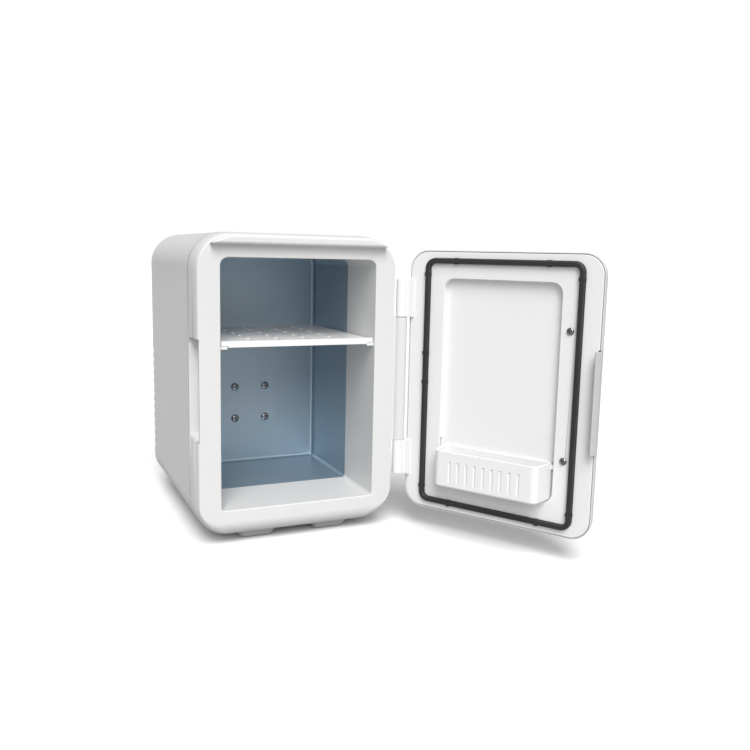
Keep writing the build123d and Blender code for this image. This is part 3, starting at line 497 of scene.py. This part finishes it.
def spring_tree():
    """A close-wound wire coil that stands on Foot."""
    tree, sheet, given, result = geometry_tree(
        "wound spring",
        [("Turns", NUMBER, 6.0), ("Coil Radius", NUMBER, 0.0017), ("Wire Radius", NUMBER, 0.00045),
         ("Height", NUMBER, 0.006), ("Foot", VECTOR, None), ("Finish", "NodeSocketMaterial", None)],
    )
    coil = sheet.add("GeometryNodeCurveSpiral")
    coil.inputs["Resolution"].default_value = 28
    sheet.links.new(given.outputs["Turns"], coil.inputs["Rotations"])
    sheet.links.new(given.outputs["Coil Radius"], coil.inputs["Start Radius"])
    sheet.links.new(given.outputs["Coil Radius"], coil.inputs["End Radius"])
    sheet.links.new(given.outputs["Height"], coil.inputs["Height"])
    wire = sheet.add("GeometryNodeCurvePrimitiveCircle")
    wire.inputs["Resolution"].default_value = 12
    sheet.links.new(given.outputs["Wire Radius"], wire.inputs["Radius"])
    tube = sheet.add("GeometryNodeCurveToMesh")
    tube.inputs["Fill Caps"].default_value = True
    sheet.links.new(coil.outputs[0], tube.inputs["Curve"])
    sheet.links.new(wire.outputs[0], tube.inputs["Profile Curve"])
    moved = sheet.add("GeometryNodeTransform")
    sheet.links.new(tube.outputs[0], moved.inputs["Geometry"])
    sheet.links.new(given.outputs["Foot"], moved.inputs["Translation"])
    whole = sheet.add("GeometryNodeRealizeInstances")
    sheet.links.new(moved.outputs["Geometry"], whole.inputs["Geometry"])
    coloured = sheet.add("GeometryNodeSetMaterial")
    sheet.links.new(whole.outputs["Geometry"], coloured.inputs["Geometry"])
    sheet.links.new(given.outputs["Finish"], coloured.inputs["Material"])
    sheet.links.new(coloured.outputs["Geometry"], result.inputs["Geometry"])
    return tree


screw_tree = screw_set_tree()
coil_tree = spring_tree()


def evaluated_mesh(item):
    """A plain mesh of the object as its modifiers leave it."""
    bpy.context.view_layer.update()
    graph = bpy.context.evaluated_depsgraph_get()
    shown = item.evaluated_get(graph)
    return bpy.data.meshes.new_from_object(shown, preserve_all_data_layers=True, depsgraph=graph)


def grown(name, mesh, tree, **values):
    """The tree's result on this mesh, as a plain mesh object."""
    carrier = placed(name + "_carrier", mesh)
    modifier = carrier.modifiers.new("tree", "NODES")
    modifier.node_group = tree
    keys = {item.name: item.identifier for item in tree.interface.items_tree if item.item_type == "SOCKET"}
    for label, value in values.items():
        modifier[keys[label.replace("_", " ")]] = value
    made = evaluated_mesh(carrier)
    made.name = name
    bpy.data.objects.remove(carrier)
    return placed(name, made)


def turned_profile(profile, count=40):
    """A closed solid of revolution round Z from (radius, height) pairs that start and end on the axis."""
    shape = bmesh.new()
    rings = []
    for radius, height in profile:
        if radius == 0:
            rings.append([shape.verts.new((0, 0, height))])
        else:
            angles = [2 * math.pi * k / count for k in range(count)]
            spots = [(radius * math.cos(a), radius * math.sin(a), height) for a in angles]
            rings.append([shape.verts.new(spot) for spot in spots])
    for low, high in zip(rings, rings[1:]):
        for k in range(count):
            after = (k + 1) % count
            corners = [low[k % len(low)], low[after % len(low)],
                       high[after % len(high)], high[k % len(high)]]
            unique = list(dict.fromkeys(corners))
            if len(unique) > 2:
                shape.faces.new(unique)
    bmesh.ops.recalc_face_normals(shape, faces=shape.faces)
    return shape


def cross_cutter(arm, blade, top, deep):
    """The tapered cross that a driver bit fits, as one closed shape."""
    shape = bmesh.new()
    for turn in (0, math.pi / 2):
        ends = ((arm, blade, top), (arm * 0.55, blade * 0.7, deep))
        rings = []
        for reach, half, height in ends:
            corners = ((reach, half), (-reach, half), (-reach, -half), (reach, -half))
            cos, sin = math.cos(turn), math.sin(turn)
            spots = [(x * cos - y * sin, x * sin + y * cos, height) for x, y in corners]
            rings.append([shape.verts.new(spot) for spot in spots])
        for k in range(4):
            after = (k + 1) % 4
            shape.faces.new((rings[0][k], rings[0][after], rings[1][after], rings[1][k]))
        shape.faces.new(rings[0])
        shape.faces.new(rings[1][::-1])
    bmesh.ops.recalc_face_normals(shape, faces=shape.faces)
    return shape


def screw_shape(name, head_radius, head_height, shank_radius, length):
    """A cross-head screw with a domed head: its crown at the origin, its tip at -length along Z."""
    dome = [(0.0, 0.0)]
    for k in range(1, 8):
        angle = k / 7 * math.pi / 2
        dome.append((head_radius * math.sin(angle), -head_height * 0.72 * (1 - math.cos(angle))))
    below = -head_height
    tip = -length
    profile = dome + [(head_radius, below), (shank_radius, below)]
    turns = max(2, int((length - head_height - shank_radius) / 0.0009))
    pitch = (length - head_height - shank_radius) / turns
    for k in range(turns):
        height = below - (k + 0.2) * pitch
        profile += [(shank_radius * 0.84, height), (shank_radius, height - 0.4 * pitch)]
    profile += [(shank_radius * 0.7, tip + shank_radius * 0.6), (0.0, tip)]
    meshes = []
    deep = -head_height * 0.62
    for label, shape in (("body", turned_profile(profile)),
                         ("cross", cross_cutter(head_radius * 0.56, head_radius * 0.13, 0.0004, deep))):
        mesh = bpy.data.meshes.new(name + "_" + label)
        shape.to_mesh(mesh)
        shape.free()
        meshes.append(placed(name + "_" + label, mesh))
    body, cutter = meshes
    cut = body.modifiers.new("cross", "BOOLEAN")
    cut.operation = "DIFFERENCE"
    cut.solver = "EXACT"
    cut.use_self = True
    cut.object = cutter
    made = evaluated_mesh(body)
    bpy.data.objects.remove(body)
    bpy.data.objects.remove(cutter)
    made.shade_smooth()
    made.set_sharp_from_angle(angle=math.radians(35))
    return made


def separate_solids(node):
    """The vertices of each solid of a node, as lists of vectors."""
    mesh = welded(node, "parts of " + node)
    near = {vertex.index: set() for vertex in mesh.vertices}
    for edge in mesh.edges:
        first, second = edge.vertices
        near[first].add(second)
        near[second].add(first)
    left = set(near)
    solids = []
    while left:
        queue = [left.pop()]
        found = []
        while queue:
            current = queue.pop()
            found.append(mesh.vertices[current].co.copy())
            fresh = near[current] & left
            left -= fresh
            queue.extend(fresh)
        solids.append(found)
    bpy.data.meshes.remove(mesh)
    return solids


def screw_set(node, outward, head_radius, head_height, shank_radius, seed):
    """Screws in place of a node's plain ones; outward is the way that their heads face."""
    outward = Vector(outward).normalized()
    places = []
    length = 0.0
    for points in separate_solids(node):
        heights = [p.dot(outward) for p in points]
        low = [min(p[i] for p in points) for i in range(3)]
        high = [max(p[i] for p in points) for i in range(3)]
        centre = Vector([(a + b) / 2 for a, b in zip(low, high)])
        places.append(centre + outward * (max(heights) - centre.dot(outward)))
        length = max(heights) - min(heights)
    name = "set_of_" + node
    shape = screw_shape(name, head_radius * MM, head_height * MM, shank_radius * MM, length)
    model = placed(name + "_model", shape)
    mesh = bpy.data.meshes.new(name + "_places")
    mesh.from_pydata(places, [], [])
    piece = grown(name, mesh, screw_tree,
                  Screw=model, Axis=outward, Seed=seed, Finish=finish[node_slot[node]])
    bpy.data.objects.remove(model)
    hand_over(piece, node)


door_inward = (-math.sin(OPEN_ANGLE), math.cos(OPEN_ANGLE), 0.0)
screw_set("liner_screws", (0, -1, 0), 4.0, 2.2, 1.6, 4)
screw_set("door_screws", door_inward, 3.1, 1.9, 1.4, 9)
screw_set("cover_screws", (0, 1, 0), 3.1, 2.2, 1.5, 2)
screw_set("fan_screws", (0, 1, 0), 3.2, 2.0, 1.6, 6)
screw_set("heat_sink_screws", (0, 1, 0), 2.9, 2.0, 1.3, 5)
screw_set("board_screws", (0, -1, 0), 2.6, 1.6, 1.2, 8)
screw_set("foot_screws", (0, 0, -1), 2.9, 2.2, 1.5, 7)

spring_size = extent("latch_spring")
spring_foot = middle("latch_spring") - Vector((0, 0, spring_size.z / 2 - 0.5 * MM))
spring = grown("latch_coil", bpy.data.meshes.new("coil_carrier"), coil_tree,
               Height=spring_size.z - 1.0 * MM, Foot=spring_foot, Finish=finish["pin_steel"])
spring.data.shade_smooth()
hand_over(spring, "latch_spring")

for node, item in frame["nodes"].items():
    item.data.materials.clear()
    item.data.materials.append(finish[node_slot[node]])


# ---------------------------------------------------------------- floor, light and camera
def floor_plane():
    mesh = bpy.data.meshes.new("floor")
    signs = ((-1, -1), (1, -1), (1, 1), (-1, 1))
    mesh.from_pydata([(x * FLOOR_REACH, y * FLOOR_REACH, 0) for x, y in signs], [], [(0, 1, 2, 3)])
    floor = placed("floor", mesh)
    material, sheet, shader = material_with("pale floor")
    place = sheet.add("ShaderNodeTexCoord").outputs["Object"]
    pale = sheet.mix(sheet.noise(place, 6.0), (0.93, 0.93, 0.93, 1.0), (0.95, 0.95, 0.95, 1.0))
    seen = sheet.add("ShaderNodeLightPath").outputs["Is Camera Ray"]
    sheet.links.new(sheet.mix(seen, (0.42, 0.42, 0.42, 1.0), pale), shader.inputs["Base Color"])
    shader.inputs["Roughness"].default_value = 0.9
    shader.inputs["Specular IOR Level"].default_value = 0.0
    mesh.materials.append(material)


def soft_sun(name, toward, strength, spread):
    """Even light from one side, as soft as from a lamp that spans this many degrees."""
    data = bpy.data.lights.new(name, "SUN")
    data.energy = strength
    data.angle = math.radians(spread)
    light = placed(name, data)
    light.rotation_euler = Vector(toward).to_track_quat("-Z", "Y").to_euler()


def studio():
    """A dim room, brighter overhead, with a white backdrop and two large soft lamps in front."""
    world = bpy.data.worlds.new("studio")
    bpy.context.scene.world = world
    world.use_nodes = True
    sheet = Sheet(world.node_tree)
    background = sheet.nodes["Background"]
    background.inputs["Color"].default_value = (1.0, 1.0, 1.0, 1.0)
    split = sheet.add("ShaderNodeSeparateXYZ")
    sheet.links.new(sheet.add("ShaderNodeTexCoord").outputs["Generated"], split.inputs[0])
    rise = sheet.math("MAXIMUM", split.outputs["Z"], 0.0)
    overhead = sheet.math("MULTIPLY", sheet.math("MULTIPLY", rise, rise), SKY_LIGHT)
    room = sheet.math("ADD", ROOM_LIGHT, overhead)
    seen = sheet.add("ShaderNodeLightPath").outputs["Is Camera Ray"]
    backdrop = sheet.math("MULTIPLY", sheet.math("SUBTRACT", 1.0, room), seen)
    sheet.links.new(sheet.math("ADD", room, backdrop), background.inputs["Strength"])
    soft_sun("high front lamp", (0.179, 0.589, -0.788), 2.4, 32.0)
    soft_sun("low front lamp", (0.26, 0.84, -0.47), 1.05, 26.0)


def view_camera():
    """Stands in front of the open fridge, to its left and a little above the middle."""
    azimuth, pitch, roll = (math.radians(a) for a in (24.57, 8.46, 1.26))
    place = Vector((-0.22846, -0.76362, 0.25114))
    ahead = math.cos(pitch)
    forward = Vector((math.sin(azimuth) * ahead, math.cos(azimuth) * ahead, -math.sin(pitch)))
    level = Vector((math.cos(azimuth), -math.sin(azimuth), 0.0))
    level_up = level.cross(forward)
    right = math.cos(roll) * level + math.sin(roll) * level_up
    up = math.cos(roll) * level_up - math.sin(roll) * level
    data = bpy.data.cameras.new("camera")
    data.sensor_width = 36.0
    data.lens = 38.61
    data.clip_start = 0.01
    camera = bpy.data.objects.new("camera", data)
    bpy.context.scene.collection.objects.link(camera)
    turn = Matrix((right, up, -forward)).transposed().to_4x4()
    camera.matrix_world = Matrix.Translation(place) @ turn
    bpy.context.scene.camera = camera


floor_plane()
studio()
view_camera()
bpy.context.scene.view_settings.view_transform = "Standard"
